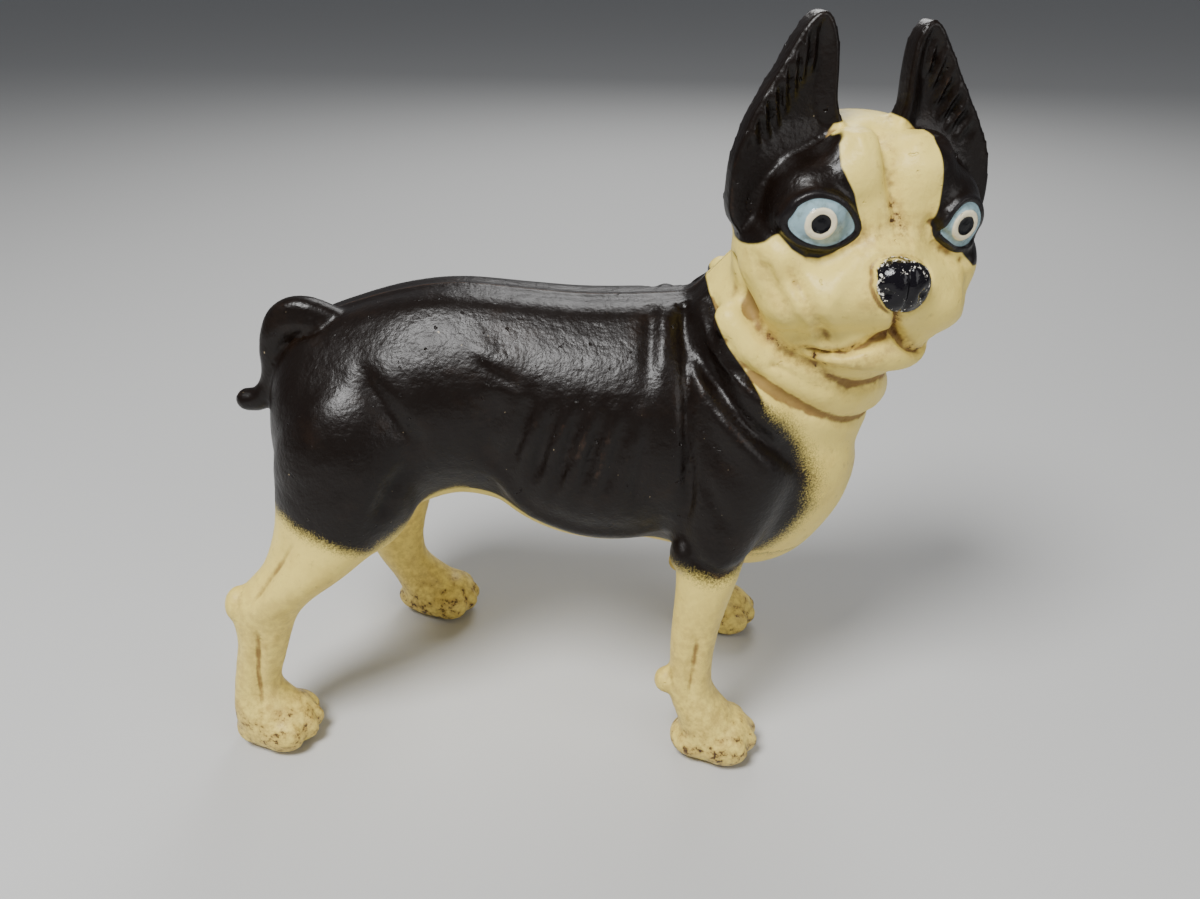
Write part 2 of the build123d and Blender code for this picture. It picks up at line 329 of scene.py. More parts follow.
# Gouge strokes on both flanks: height gained (minus is cut away), width, path of x and z.
flank_strokes = [
    (-2.8, 6.0, [(-19, 138), (-22, 124), (-24, 107)]),
    (-2.0, 2.4, [(-9, 138), (-13, 125), (-18, 110)]),
    (-2.3, 2.3, [(-1, 136), (-11, 104)]),
    (-2.3, 2.1, [(7, 136), (-4, 101)]),
    (-2.2, 2.0, [(14, 135), (5, 102)]),
    (-1.9, 2.0, [(21, 134), (13, 102)]),
    (-1.5, 2.0, [(28, 131), (22, 100)]),
    (1.4, 2.4, [(-27, 113), (-19, 104), (-10, 94), (6, 88), (23, 87), (38, 91)]),
    (-2.2, 3.4, [(-64, 144), (-60, 138), (-53, 130), (-47, 121), (-48, 112)]),
    (-2.2, 2.8, [(-50, 113), (-56, 102), (-60, 93)]),
    (-2.4, 2.2, [(36, 168), (37, 153), (39, 140), (40, 122), (40, 105), (39, 92)]),
    (-2.6, 2.6, [(35, 171), (38, 154), (43, 146), (51, 137), (59, 129), (68, 122), (75, 114), (79, 103)]),
    (2.4, 3.2, [(40, 168), (46, 153), (54, 144), (64, 135), (71, 129)]),
    (1.8, 4.4, [(39, 152), (45, 138), (54, 127), (63, 117), (70, 106)]),
    (-0.9, 2.2, [(28, 170), (27, 157), (26, 138)]),
    (0.6, 2.0, [(32, 170), (31, 156), (31, 138)]),
    (0.7, 3.0, [(-30, 150), (-22, 146.5), (-13, 143)]),
    (-0.5, 1.2, [(-28, 146), (-21, 142.5), (-13, 139.5)]),
    (-1.8, 2.6, [(39, 94), (43, 84), (51, 79), (60, 80), (66, 84)]),
    (-0.8, 2.4, [(43, 116), (49, 105), (56, 93)]),
    (-2.0, 2.2, [(-108, 60), (-100, 71), (-88, 86)]),
    (-1.6, 2.2, [(-107, 16), (-107, 34), (-104, 54)]),
    (-1.4, 2.2, [(42, 22), (44, 38), (46, 60)]),
]
points, normals = points_of(pattern), points_of(pattern, "normal")
lift = np.zeros(len(points))
flank = np.flatnonzero((np.abs(points[:, 1]) > 9) & (points[:, 0] < 84) & (points[:, 2] < 174))
flat = points[flank][:, [0, 2]]
facing = smooth_step(np.sign(points[flank, 1]) * normals[flank, 1], 0.05, 0.5)
# On the left flank the carving stops short of the screw's recess.
plain = smooth_step(np.hypot(flat[:, 0] - screw_x, flat[:, 1] - screw_z), 9, 17)
facing *= np.where(points[flank, 1] > 0, plain, 1)
for gain, width, path in flank_strokes:
    lift[flank] += gain * facing * stroke(flat, width, path)

# The creases over and under the dewlap run round the neck on both sides: x, out, z.
neck_strokes = [
    (-2.4, 2.6, [
        (50, 22, 178), (53, 25, 172), (60, 28, 158), (68, 30, 153), (76, 31, 148), (88, 28, 141),
        (98, 21, 140),
        (105, 9, 138), (107, 0, 138),
    ]),
    (-2.0, 2.2, [
        (44, 14, 163), (50, 28, 155), (56, 31, 147), (66, 32, 140), (77, 30, 133), (89, 23, 127),
        (97, 14, 125), (101, 0, 124),
    ]),
    (0.5, 4.0, [(58, 30, 152), (68, 32, 146), (80, 30, 140), (92, 23, 134), (101, 12, 132), (104, 0, 131)]),
    (-1.1, 1.3, [(64, 32, 149), (78, 31, 142), (90, 25, 136)]),
    (-1.4, 3.0, [(84, 20, 116), (93, 10, 112), (97, 0, 111)]),
]
neck = np.flatnonzero((points[:, 0] > 38) & (points[:, 2] > 100) & (points[:, 2] < 180))
folded = points[neck].copy()
folded[:, 1] = np.abs(folded[:, 1])
for gain, width, path in neck_strokes:
    lift[neck] += gain * np.exp(-(path_distance(folded, path) / width) ** 2)

# The back is broad, and along it the two halves meet in a low ridge.
broad = np.exp(-((np.abs(points[:, 1]) - 12) / 7) ** 2) * smooth_step(normals[:, 2], 0.4, 0.9)
lift += 1.5 * broad * smooth_step(points[:, 2], 135, 145) * smooth_step(-points[:, 0], -50, -36)
ridge = np.exp(-(points[:, 1] / 1.9) ** 2) * smooth_step(normals[:, 2], 0.3, 0.8)
lift += 0.7 * ridge * smooth_step(points[:, 2], 135, 145) * smooth_step(-points[:, 0], -56, -40)

# Head strokes, seen from the front: gain, width, path of distance across and height.
right_eye = rounded([
    (-30, 194.6), (-28, 198.4), (-23.8, 200.6), (-18.5, 199.8), (-13.8, 196.4), (-11, 191.6),
    (-13.8, 188.6), (-18.6, 187.2),
    (-24.8, 188.6), (-29, 191.4),
])
left_eye = rounded([
    (14.6, 189.8), (17, 194.6), (20.6, 197.4), (24.4, 196.6), (27, 193), (27.8, 189), (25.8, 185.2),
    (21.8, 184.4), (17.4, 186.8),
])
gazes = [(-22, 194), (21.5, 191)]
nose_outline = rounded([
    (-7.4, 178), (-7, 182), (-4, 184.4), (0.5, 184.8), (5.4, 183.6), (9, 180), (9, 175.5), (6.8, 172),
    (4.4, 170.4), (0.6, 170), (-2.6, 171), (-5.6, 174),
])
head_strokes = [
    (-2.2, 2.2, [(-1, 216), (-2, 211), (-1, 205), (0, 200), (2, 193)]),
    (-1.2, 4.5, [(-5, 190), (6, 190)]),
    (-1.6, 1.1, [(0, 170), (1, 166), (3, 162)]),
    (-2.8, 1.5, [(3, 162), (-2, 160.4), (-7, 158.4), (-12, 156), (-17, 154.4), (-21, 154.2)]),
    (-2.8, 1.5, [(3, 162), (6, 159), (10, 155.6), (14, 153.4), (17, 155)]),
    (-2.0, 2.6, [(-28, 180), (-26, 175), (-23.5, 169), (-19, 163), (-15, 159)]),
    (-1.8, 2.4, [(-36, 182), (-32.5, 175), (-29, 168), (-23, 160)]),
    (-1.6, 2.0, [(-26, 153), (-18, 149.5), (-8, 148), (2, 147), (10, 146)]),
    (1.0, 2.6, [(-10, 186), (-16, 180), (-19, 173)]),
    (-0.9, 2.4, [(-9, 189), (-14, 184), (-19, 182), (-25, 184)]),
    (-0.9, 2.4, [(14, 188), (19, 183), (25, 180)]),
    (-1.4, 1.5, [(11, 193), (13, 190), (14.5, 188.5)]),
    (-1.4, 1.3, [(-4.6, 177), (-4.2, 175.5)]),
    (-1.4, 1.3, [(5.8, 176.5), (5.4, 175)]),
    (-0.9, 0.8, [(1, 184), (1, 171)]),
    (-1.2, 2.0, [(24, 182), (27, 175), (26, 167)]),
]
face = np.flatnonzero((points[:, 2] > 140) & (points[:, 0] > 30))
across, ahead, up = head_view(points[face])
flat = np.stack([across, up], 1)
_, looking, _ = head_view(normals[face] + (head_x, head_y, 0))
facing = smooth_step(looking, -0.2, 0.25) * smooth_step(ahead, 4, 12)
for gain, width, path in head_strokes:
    lift[face] += gain * facing * stroke(flat, width, path, 0.12)
lids = np.maximum(depth_inside(flat, right_eye), depth_inside(flat, left_eye))
gaze = np.minimum(*[np.hypot(across - x, up - z) for x, z in gazes])
nose = depth_inside(flat, nose_outline)
lift[face] += facing * (
    0.75 * np.exp(-((lids + 1.1) / 0.9) ** 2) - 0.4 * np.exp(-((lids + 3.8) / 1.8) ** 2)
    - 0.5 * smooth_step(lids, -0.4, 0.4)
    + 0.4 * np.exp(-((gaze - 4.0) / 0.7) ** 2) - 0.5 * smooth_step(-gaze, -2.8, -2.2)
    + 0.7 * smooth_step(nose, -0.6, 0.6) - 0.6 * np.exp(-((nose + 1.0) / 0.7) ** 2)
)

# Ears are dished, with a raised rim and a fan of ridges: path of distance across and height.
ear_ridges = [
    [(-20.4, 241), (-20.6, 229)], [(-23.4, 240), (-22.8, 226.5)], [(-26.4, 236.5), (-24.6, 223)],
    [(-29.2, 232), (-26.6, 219)], [(-32, 227.5), (-28.6, 215)], [(-34.6, 223), (-30.8, 211)],
    [(-37, 217.5), (-33, 207)],
    [(13.8, 238.5), (13.4, 227.5)], [(17, 236), (15.4, 224)], [(20, 231), (17.4, 220)], [(23, 226.5),
    (19.6, 216)],
    [(25.8, 222), (21.8, 212.5)], [(28.4, 217.5), (24.2, 209)], [(31, 213), (27, 205)],
]
dish = np.maximum(depth_inside(flat, right_ear), depth_inside(flat, left_ear))
ear_facing = smooth_step(looking, 0.2, 0.6) * smooth_step(ahead, 3.5, 5.5) * smooth_step(up, 206, 220)
lift[face] += ear_facing * (0.7 * np.exp(-((dish - 1.2) / 1.0) ** 2) - 2.4 * smooth_step(dish, 1.4, 6.5))
for path in ear_ridges:
    lift[face] += 2.3 * ear_facing * smooth_step(dish, 1.0, 2.6) * stroke(flat, 1.1, path, 0.45)

points += normals * lift[:, None]
points[:, 2] = np.maximum(points[:, 2], 0)
pattern.vertices.foreach_set("co", points.ravel())
pattern.update()

# ---- Right half: the casting -----------------------------------------------------------
# Cast iron poured round a sand core, so it is a thin shell, four and a half millimetres
# before the carving, with rough bare iron inside. It carries the face, both ears and the
# tail, and a tapped boss.

wall, parting_gap = 4.6, 0.22
core = bmesh.new()
add_loft(core, [
    ring((x, 0, z), (0, 1, 0), (0, 0, 1), wide - wall, high - wall)
    for x, z, high, wide in eased(torso_stations[1:-1], 3)
])
add_loft(core, [
    ring((x, y, z), (0, 1, 0), (-0.86, 0, 0.51), wide - wall, deep - wall)
    for x, y, z, deep, wide in eased(neck_stations, 3)
])
for middle, sizes, lean in head_masses[:3]:
    add_ball(core, middle, [size - wall for size in sizes], head_place, lean, "X")
core_skin = settled(core, 2.6, 3)

peg_places = [(-96.5, 109.0), (89.5, 107.0)]
boss_radius, boss_end, tapped_radius, tapped_end = 8, -27.5, 3.2, -20.5
post_radius, post_length, socket_radius, socket_depth = 4.5, 8, 2.2, 3.4


def add_post(bm, x, z, radius, start, end):
    """A cylinder square to the parting plane, from y = start to y = end."""
    matrix = Matrix.Translation((x, (start + end) / 2, z)) @ Matrix.Rotation(math.radians(90), 4, "X")
    bmesh.ops.create_cone(
        bm, cap_ends=True, segments=48, radius1=radius, radius2=radius, depth=abs(end - start), matrix=matrix
    )


def with_tool(block, operation, tool):
    """The block joined with a tool of bare iron, or cut with it."""
    bmesh.ops.recalc_face_normals(tool, faces=tool.faces)
    for face in tool.faces:
        face.material_index = 1
    mesh = bpy.data.meshes.new("tool")
    tool.to_mesh(mesh)
    tool.free()
    helper = bpy.data.objects.new("tool", mesh)
    bpy.context.scene.collection.objects.link(helper)
    modifier = block.modifiers.new("tool", "BOOLEAN")
    modifier.operation, modifier.solver, modifier.object = operation, "MANIFOLD", helper
    shaped = bpy.data.meshes.new_from_object(block.evaluated_get(bpy.context.evaluated_depsgraph_get()))
    block.modifiers.clear()
    former = block.data
    block.data = shaped
    bpy.data.meshes.remove(former)
    bpy.data.objects.remove(helper)
    bpy.data.meshes.remove(mesh)


def parted(name, side):
    """The half of the pattern on one side of the parting plane, cored and closed."""
    half = bmesh.new()
    for mesh in (core_skin, pattern):
        half.from_mesh(mesh)
        if mesh is core_skin:
            bmesh.ops.reverse_faces(half, faces=half.faces)
            for face in half.faces:
                face.material_index = 1
    bmesh.ops.bisect_plane(
        half, geom=[*half.verts, *half.edges, *half.faces], plane_co=(0, side * parting_gap, 0),
        plane_no=(0, -side, 0), clear_outer=True,
    )
    rims = [edge for edge in half.edges if edge.is_boundary]
    filled = bmesh.ops.triangle_fill(half, edges=rims, use_beauty=False, normal=(0, -side, 0))
    for part in filled["geom"]:
        if isinstance(part, bmesh.types.BMFace):
            part.material_index = 1
    mesh = bpy.data.meshes.new(name)
    half.to_mesh(mesh)
    half.free()
    block = bpy.data.objects.new(name, mesh)
    bpy.context.scene.collection.objects.link(block)
    return block


right = parted("right_casting_shell", -1)
tool = bmesh.new()
add_post(tool, screw_x, screw_z, boss_radius, -parting_gap - 0.3, boss_end)
for x, z in peg_places:
    add_post(tool, x, z, post_radius, -parting_gap, -post_length)
with_tool(right, "UNION", tool)
tool = bmesh.new()
add_post(tool, screw_x, screw_z, tapped_radius, 1, tapped_end)
for x, z in peg_places:
    add_post(tool, x, z, socket_radius, 1, -socket_depth)
with_tool(right, "DIFFERENCE", tool)

# ---- Left half: the casting ------------------------------------------------------------
# The same iron. It carries the back of the head with the coin slot, two short locating
# pegs, and a boss whose outer end is sunk into the flank for the clamp screw's head.

seat_y, seat_radius, recess_radius, clear_radius = 31.0, 10, 7.8, 3.6
peg_radius, peg_tip = 2, -3
slot_middle, slot_size = (87, 24, 195), (32, 26, 4.4)
left = parted("left_casting_shell", 1)
tool = bmesh.new()
add_post(tool, screw_x, screw_z, seat_radius, parting_gap + 0.3, seat_y)
for x, z in peg_places:
    add_post(tool, x, z, post_radius, parting_gap, post_length)
with_tool(left, "UNION", tool)
tool = bmesh.new()
for x, z in peg_places:
    add_post(tool, x, z, peg_radius, 1, peg_tip)
with_tool(left, "UNION", tool)
bores = [(clear_radius, -2, 30), (clear_radius, 29, seat_y + 0.5), (recess_radius, seat_y, 45)]
for radius, start, end in bores:
    tool = bmesh.new()
    add_post(tool, screw_x, screw_z, radius, start, end)
    with_tool(left, "DIFFERENCE", tool)
tool = bmesh.new()
bmesh.ops.create_cube(
    tool, size=1, matrix=Matrix.Translation(slot_middle) @ Matrix.Diagonal((*slot_size, 1))
)
with_tool(left, "DIFFERENCE", tool)

# Paint is told by where a point lies: how far into the cream it is, how softly the two
# colours meet there, and how far it is from the eyes and the nose.
chest_edge = [
    (60, 78), (66, 80), (74, 88), (80, 97), (81, 109), (76, 122), (68, 132), (60, 141), (50, 154),
    (44, 166),
    (44, 260),
]
under_edge = [
    (-130, 94), (-100, 94), (-91, 93), (-85, 90), (-75, 86), (-64, 80), (-48, 90), (-36, 97), (-20, 96),
    (-6, 88), (10, 82), (30, 81), (37, 80), (43, 78), (50, 76), (60, 78), (130, 78),
]
mask_right = [
    (-70, 260), (-5, 260), (-5, 218.5), (-9, 217.6), (-13, 216.5), (-15, 213), (-15.6, 208), (-14, 204.5),
    (-12, 201),
    (-10, 195), (-9, 191), (-13, 187.5), (-16, 185), (-20, 183.2), (-24, 183.6), (-28, 186), (-31, 189.5),
    (-34, 187),
    (-38, 184.5), (-70, 183),
]
mask_left = [
    (70, 260), (6, 260), (6, 218), (9, 216.5), (12, 214), (12.6, 209), (13, 203), (13, 197), (12, 191),
    (16, 186),
    (24, 182), (28, 178), (34, 177), (40, 180), (70, 182),
]


# Brown dirt has settled in the folds: strength, width, path.
soiled_necks = [
    (0.8, 3.0, [(60, 28, 158), (68, 30, 153), (76, 31, 148), (88, 28, 141), (98, 21, 140), (107, 0, 138)]),
    (0.45, 2.5, [(66, 32, 140), (77, 30, 133), (89, 23, 127), (101, 0, 124)]),
    (0.5, 5.0, [(96, 8, 110), (92, 14, 104)]),
    (1.6, 1.3, [(73, 33, 155), (79, 33, 150.5)]),
]
soiled_faces = [
    (1.0, 3.6, [(0, 196), (2, 190)]),
    (0.55, 5.0, [(-8, 189), (0, 191), (10, 190)]),
    (1.0, 1.6, [(0, 170), (3, 162), (-7, 158.4), (-12, 156), (-20, 155)]),
    (1.0, 1.8, [(3, 162), (10, 155.6), (15, 153.6)]),
    (0.6, 3.2, [(3, 158), (-10, 152), (-20, 149), (-26, 152)]),
    (0.45, 2.6, [(-28, 180), (-23.5, 169), (-16, 160)]),
    (0.4, 2.6, [(-36, 182), (-29, 168)]),
    (0.5, 2.0, [(1, 214), (-1, 203)]),
    (0.5, 2.4, [(-10, 176), (-8, 171)]),
]


def painted(block):
    mesh = block.data
    points = points_of(mesh)
    x, y, z = points.T
    across, ahead, up = head_view(points)
    flat = np.stack([across, up], 1)
    head = np.flatnonzero((z > 138) & (x > 40))
    edge_x = np.interp(z, [row[1] for row in chest_edge], [row[0] for row in chest_edge])
    chest = np.where(z > 78, (x - edge_x) * 0.8, -60)
    under = np.interp(x, [row[0] for row in under_edge], [row[1] for row in under_edge]) - z
    under = under + 14 * smooth_step(26 - np.abs(y), 0, 12) * smooth_step(-np.abs(x + 5), -50, -40)
    cream = np.maximum(chest, under)
    soft = np.where(under > chest, 3.2, 3.4 - 3.1 * smooth_step(z, 132, 142))
    soft = np.where((x > -32) & (x < 34) & (under > chest), 0.8, soft)
    dark = np.maximum(depth_inside(flat[head], mask_right), depth_inside(flat[head], mask_left))
    dark = np.maximum(dark, np.where(up[head] > 187, -10 - ahead[head], -9))
    on_head = smooth_step(z[head], 172, 176)
    cream[head] = np.where(on_head > 0, np.minimum(cream[head], -dark), cream[head])
    soft[head] = np.where(on_head > 0, 0.3, soft[head])
    eyes = np.full(len(points), -9.0)
    eyes[head] = np.maximum(depth_inside(flat[head], right_eye), depth_inside(flat[head], left_eye))
    eyes = np.where(ahead > 12, eyes, -9)
    gaze = np.minimum(*[np.hypot(across - a, up - b) for a, b in gazes])
    nose = np.full(len(points), -9.0)
    nose[head] = depth_inside(flat[head], nose_outline)
    nose = np.where(ahead > 26, nose, -9)
    soil = 0.42 * smooth_step(-z, -34, -4) + 0.42 * smooth_step(-z, -84, -50)
    folded = np.stack([x, np.abs(y), z], 1)
    for strength, width, path in soiled_necks:
        soil = np.maximum(soil, strength * np.exp(-(path_distance(folded, path) / width) ** 2))
    for strength, width, path in soiled_faces:
        dirt = strength * np.exp(-(path_distance(flat[head], path) / width) ** 2)
        soil[head] = np.maximum(soil[head], dirt * smooth_step(ahead[head], 4, 12))
    bm = bmesh.new()
    bm.from_mesh(mesh)
    hollow = np.zeros(len(points))
    for vert in bm.verts:
        around = Vector()
        for edge in vert.link_edges:
            around += edge.other_vert(vert).co
        around = around / len(vert.link_edges) - vert.co
        hollow[vert.index] = around.dot(vert.normal)
    edges = np.array([(e.verts[0].index, e.verts[1].index) for e in bm.edges])
    bm.free()
    hollow = np.clip(hollow / 0.12, -2, 2)
    for _ in range(2):
        total, share = np.zeros(len(points)), np.ones(len(points)) * 1e-6
        for near, far in (edges.T, edges.T[::-1]):
            np.add.at(total, near, hollow[far])
            np.add.at(share, near, 1)
        hollow = 0.4 * hollow + 0.6 * total / share
    for name, values in (
        ("cream", cream), ("soft", soft), ("eyes", eyes), ("gaze", gaze), ("nose", nose),
        ("hollow", hollow),
        ("soil", soil),
    ):
        attribute = mesh.attributes.new(name, "FLOAT", "POINT")
        attribute.data.foreach_set("value", values.astype(np.float32))
    mesh.transform(Matrix.Diagonal((millimetre, millimetre, millimetre, 1)))
    mesh.polygons.foreach_set("use_smooth", np.ones(len(mesh.polygons), bool))
    mesh.set_sharp_from_angle(angle=math.radians(48))


painted(right)
painted(left)
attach(right, "right_casting")
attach(left, "left_casting")
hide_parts("right_half")
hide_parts("left_half")


class Surface:
    """A node material with short names for the nodes that these finishes use."""

    def __init__(self, name):
        self.material = bpy.data.materials.new(name)
        self.material.use_nodes = True
        self.tree = self.material.node_tree
        self.finish = self.tree.nodes["Principled BSDF"]
        self.place = self.tree.nodes.new("ShaderNodeTexCoord").outputs["Object"]

    def plug(self, socket, value):
        if isinstance(value, bpy.types.NodeSocket):
            self.tree.links.new(value, socket)
        elif isinstance(value, tuple):
            socket.default_value = (*value, 1)
        else:
            socket.default_value = value

    def attribute(self, name):
        node = self.tree.nodes.new("ShaderNodeAttribute")
        node.attribute_name = name
        return node.outputs["Fac"]

    def noise(self, size, detail=3.0, roughness=0.6):
        """Noise from 0 to 1 whose features are about size millimetres wide."""
        node = self.tree.nodes.new("ShaderNodeTexNoise")
        node.inputs["Scale"].default_value = 1 / (size * millimetre)
        node.inputs["Detail"].default_value = detail
        node.inputs["Roughness"].default_value = roughness
        self.tree.links.new(self.place, node.inputs["Vector"])
        return node.outputs["Fac"]

    def sum(self, operation, *values):
        node = self.tree.nodes.new("ShaderNodeMath")
        node.operation = operation
        for socket, value in zip(node.inputs, values):
            self.plug(socket, value)
        return node.outputs[0]

    def step(self, value, low, high):
        """0 below low and 1 above high, eased between them."""
        node = self.tree.nodes.new("ShaderNodeMapRange")
        node.interpolation_type = "SMOOTHSTEP"
        for name, given in (("Value", value), ("From Min", low), ("From Max", high)):
            self.plug(node.inputs[name], given)
        return node.outputs[0]

    def mix(self, share, first, second):
        node = self.tree.nodes.new("ShaderNodeMix")
        node.data_type = "RGBA"
        self.plug(node.inputs["Factor"], share)
        self.plug([s for s in node.inputs if s.name == "A" and s.type == "RGBA"][0], first)
        self.plug([s for s in node.inputs if s.name == "B" and s.type == "RGBA"][0], second)
        return [s for s in node.outputs if s.type == "RGBA"][0]

    def bump(self, height, distance, under=None):
        node = self.tree.nodes.new("ShaderNodeBump")
        node.inputs["Distance"].default_value = distance * millimetre
        self.plug(node.inputs["Height"], height)
        if under:
            self.plug(node.inputs["Normal"], under)
        return node.outputs["Normal"]


enamel = Surface("enamel")
soft = enamel.attribute("soft")
wobble = enamel.sum("MULTIPLY", enamel.sum("SUBTRACT", enamel.noise(14, 3), 0.5), soft)
spatter = enamel.sum("MULTIPLY", enamel.sum("SUBTRACT", enamel.noise(0.55, 3, 0.7), 0.5), 3.4)
depth = enamel.sum("DIVIDE", enamel.sum("ADD", enamel.attribute("cream"), wobble), soft)
speckled = enamel.sum("MULTIPLY", spatter, enamel.step(soft, 0.3, 1.5))
is_cream = enamel.step(enamel.sum("ADD", depth, speckled), -1.1, 1.1)
hollow = enamel.attribute("hollow")
in_folds = enamel.sum("ADD", hollow, enamel.sum("MULTIPLY", enamel.noise(6, 5), 0.9))
grime = enamel.sum("MULTIPLY", enamel.step(in_folds, 0.58, 1.15), 0.8)
patches = enamel.step(enamel.noise(16, 5, 0.65), 0.52, 0.72)
stain = enamel.step(enamel.noise(3.5, 6, 0.7), 0.56, 0.72)
rust = enamel.step(enamel.noise(5.5, 6, 0.75), 0.69, 0.74)
cream = enamel.mix(enamel.sum("MULTIPLY", patches, 0.55), (0.86, 0.68, 0.17), (0.70, 0.52, 0.12))
cream = enamel.mix(enamel.sum("MULTIPLY", stain, 0.45), cream, (0.50, 0.35, 0.09))
clouds = enamel.step(enamel.noise(3, 5, 0.65), 0.32, 0.68)
settled_dirt = enamel.sum("MULTIPLY", enamel.attribute("soil"), clouds)
cream = enamel.mix(enamel.sum("MULTIPLY", settled_dirt, 0.85), cream, (0.30, 0.15, 0.045))
flecks = enamel.step(enamel.sum("ADD", settled_dirt, enamel.noise(1.2, 4, 0.7)), 1.1, 1.35)
cream = enamel.mix(flecks, cream, (0.07, 0.032, 0.014))
cream = enamel.mix(grime, cream, (0.17, 0.075, 0.022))
cream = enamel.mix(rust, cream, (0.11, 0.035, 0.012))
dark = enamel.mix(patches, (0.005, 0.0024, 0.0013), (0.010, 0.005, 0.0026))
on_ridges = enamel.sum("MULTIPLY", hollow, -0.5)
worn = enamel.step(enamel.sum("ADD", on_ridges, enamel.noise(2.2, 5, 0.7)), 0.95, 1.25)
dark = enamel.mix(enamel.sum("MULTIPLY", worn, 0.4), dark, (0.06, 0.032, 0.018))
specks = enamel.step(enamel.noise(1.6, 2, 0.5), 0.775, 0.80)
dark = enamel.mix(enamel.sum("MULTIPLY", specks, 0.8), dark, (0.42, 0.33, 0.2))
body = enamel.mix(is_cream, dark, cream)
eye_depth = enamel.attribute("eyes")
brush = enamel.sum("MULTIPLY", enamel.sum("SUBTRACT", enamel.noise(2), 0.5), 0.4)
gaze = enamel.sum("ADD", enamel.attribute("gaze"), brush)
iris = enamel.mix(enamel.step(enamel.noise(3, 5), 0.45, 0.7), (0.27, 0.40, 0.44), (0.19, 0.26, 0.26))
iris = enamel.mix(enamel.step(gaze, 4.6, 4.3), iris, (0.80, 0.72, 0.50))
iris = enamel.mix(enamel.step(gaze, 2.9, 2.6), iris, (0.004, 0.004, 0.005))
in_eye = enamel.step(eye_depth, -0.15, 0.15)
body = enamel.mix(enamel.step(enamel.sum("ADD", eye_depth, 2.0), -0.2, 0.2), body, (0.008, 0.006, 0.006))
body = enamel.mix(in_eye, body, iris)
nose_depth = enamel.attribute("nose")
brush = enamel.sum("SUBTRACT", enamel.noise(2.4, 4), 0.5)
on_nose = enamel.step(enamel.sum("ADD", nose_depth, brush), -0.15, 0.15)
fewer_inside = enamel.sum("MULTIPLY", nose_depth, 0.03)
chips = enamel.step(enamel.sum("SUBTRACT", enamel.noise(1.5, 4, 0.7), fewer_inside), 0.555, 0.58)
nose_colour = enamel.mix(chips, (0.006, 0.005, 0.007), (0.80, 0.76, 0.66))
body = enamel.mix(on_nose, body, nose_colour)
enamel.plug(enamel.finish.inputs["Base Color"], body)
rough_dark = enamel.sum("ADD", 0.24, enamel.sum("MULTIPLY", enamel.noise(9, 4), 0.22))
rough_cream = enamel.sum("ADD", 0.42, enamel.sum("MULTIPLY", grime, 0.3))
gloss = enamel.tree.nodes.new("ShaderNodeMix")
enamel.plug(gloss.inputs[0], is_cream)
enamel.plug(gloss.inputs[2], rough_dark)
enamel.plug(gloss.inputs[3], rough_cream)
outside_eyes_and_nose = enamel.step(enamel.sum("MAXIMUM", eye_depth, nose_depth), 1.5, -1.5)
roughness = enamel.sum("MULTIPLY", gloss.outputs[0], outside_eyes_and_nose)
enamel.plug(enamel.finish.inputs["Roughness"], roughness)
enamel.finish.inputs["Specular IOR Level"].default_value = 0.3
grain = enamel.bump(enamel.noise(1.3, 3, 0.6), 0.16)
grain = enamel.bump(enamel.noise(4.5, 2, 0.5), 0.30, grain)
grain = enamel.bump(enamel.step(enamel.noise(2.6, 2, 0.5), 0.70, 0.78), -0.35, grain)
enamel.plug(enamel.finish.inputs["Normal"], grain)

bare_iron = Surface("bare_iron")
blotch = bare_iron.step(bare_iron.noise(9, 6, 0.7), 0.42, 0.66)
iron = bare_iron.mix(blotch, (0.055, 0.048, 0.044), (0.13, 0.055, 0.025))
iron = bare_iron.mix(bare_iron.step(bare_iron.noise(2, 5, 0.7), 0.55, 0.7), iron, (0.19, 0.08, 0.032))
bare_iron.plug(bare_iron.finish.inputs["Base Color"], iron)
bare_iron.finish.inputs["Metallic"].default_value = 0.35
bare_iron.finish.inputs["Roughness"].default_value = 0.78
bare_iron.plug(bare_iron.finish.inputs["Normal"], bare_iron.bump(bare_iron.noise(1.6, 5, 0.7), 0.5))
for block in (right, left):
    block.data.materials[0] = enamel.material
    block.data.materials.append(bare_iron.material)

# ---- Washer ----------------------------------------------------------------------------
# A flat washer of mild steel, punched from sheet, dull and lightly rusted. It spreads the
# load of the screw's head over the floor of the recess in the left half.


def spun(name, profile, steps=64):
    """A closed solid turned about the screw's axis from a profile of radius and y."""
    bm = bmesh.new()
    verts = [bm.verts.new((radius, y, 0)) for radius, y in profile]
    closing = [verts[0]] if profile[0][0] > 0 else []
    edges = [bm.edges.new(pair) for pair in zip(verts, verts[1:] + closing)]
    bmesh.ops.spin(
        bm, geom=verts + edges, cent=(0, 0, 0), axis=(0, 1, 0), angle=math.tau, steps=steps, use_merge=True
    )
    bmesh.ops.remove_doubles(bm, verts=bm.verts, dist=1e-4)
    bmesh.ops.recalc_face_normals(bm, faces=bm.faces)
    bmesh.ops.translate(bm, verts=bm.verts, vec=(screw_x, 0, screw_z))
    mesh = bpy.data.meshes.new(name)
    bm.to_mesh(mesh)
    bm.free()
    block = bpy.data.objects.new(name, mesh)
    bpy.context.scene.collection.objects.link(block)
    return block


def finished(block, material, body, node):
    mesh = block.data
    mesh.transform(Matrix.Diagonal((millimetre, millimetre, millimetre, 1)))
    mesh.materials.clear()
    mesh.materials.append(material)
    mesh.polygons.foreach_set("material_index", np.zeros(len(mesh.polygons), np.int32))
    mesh.polygons.foreach_set("use_smooth", np.ones(len(mesh.polygons), bool))
    mesh.set_sharp_from_angle(angle=math.radians(32))
    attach(block, body)
    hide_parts(node)


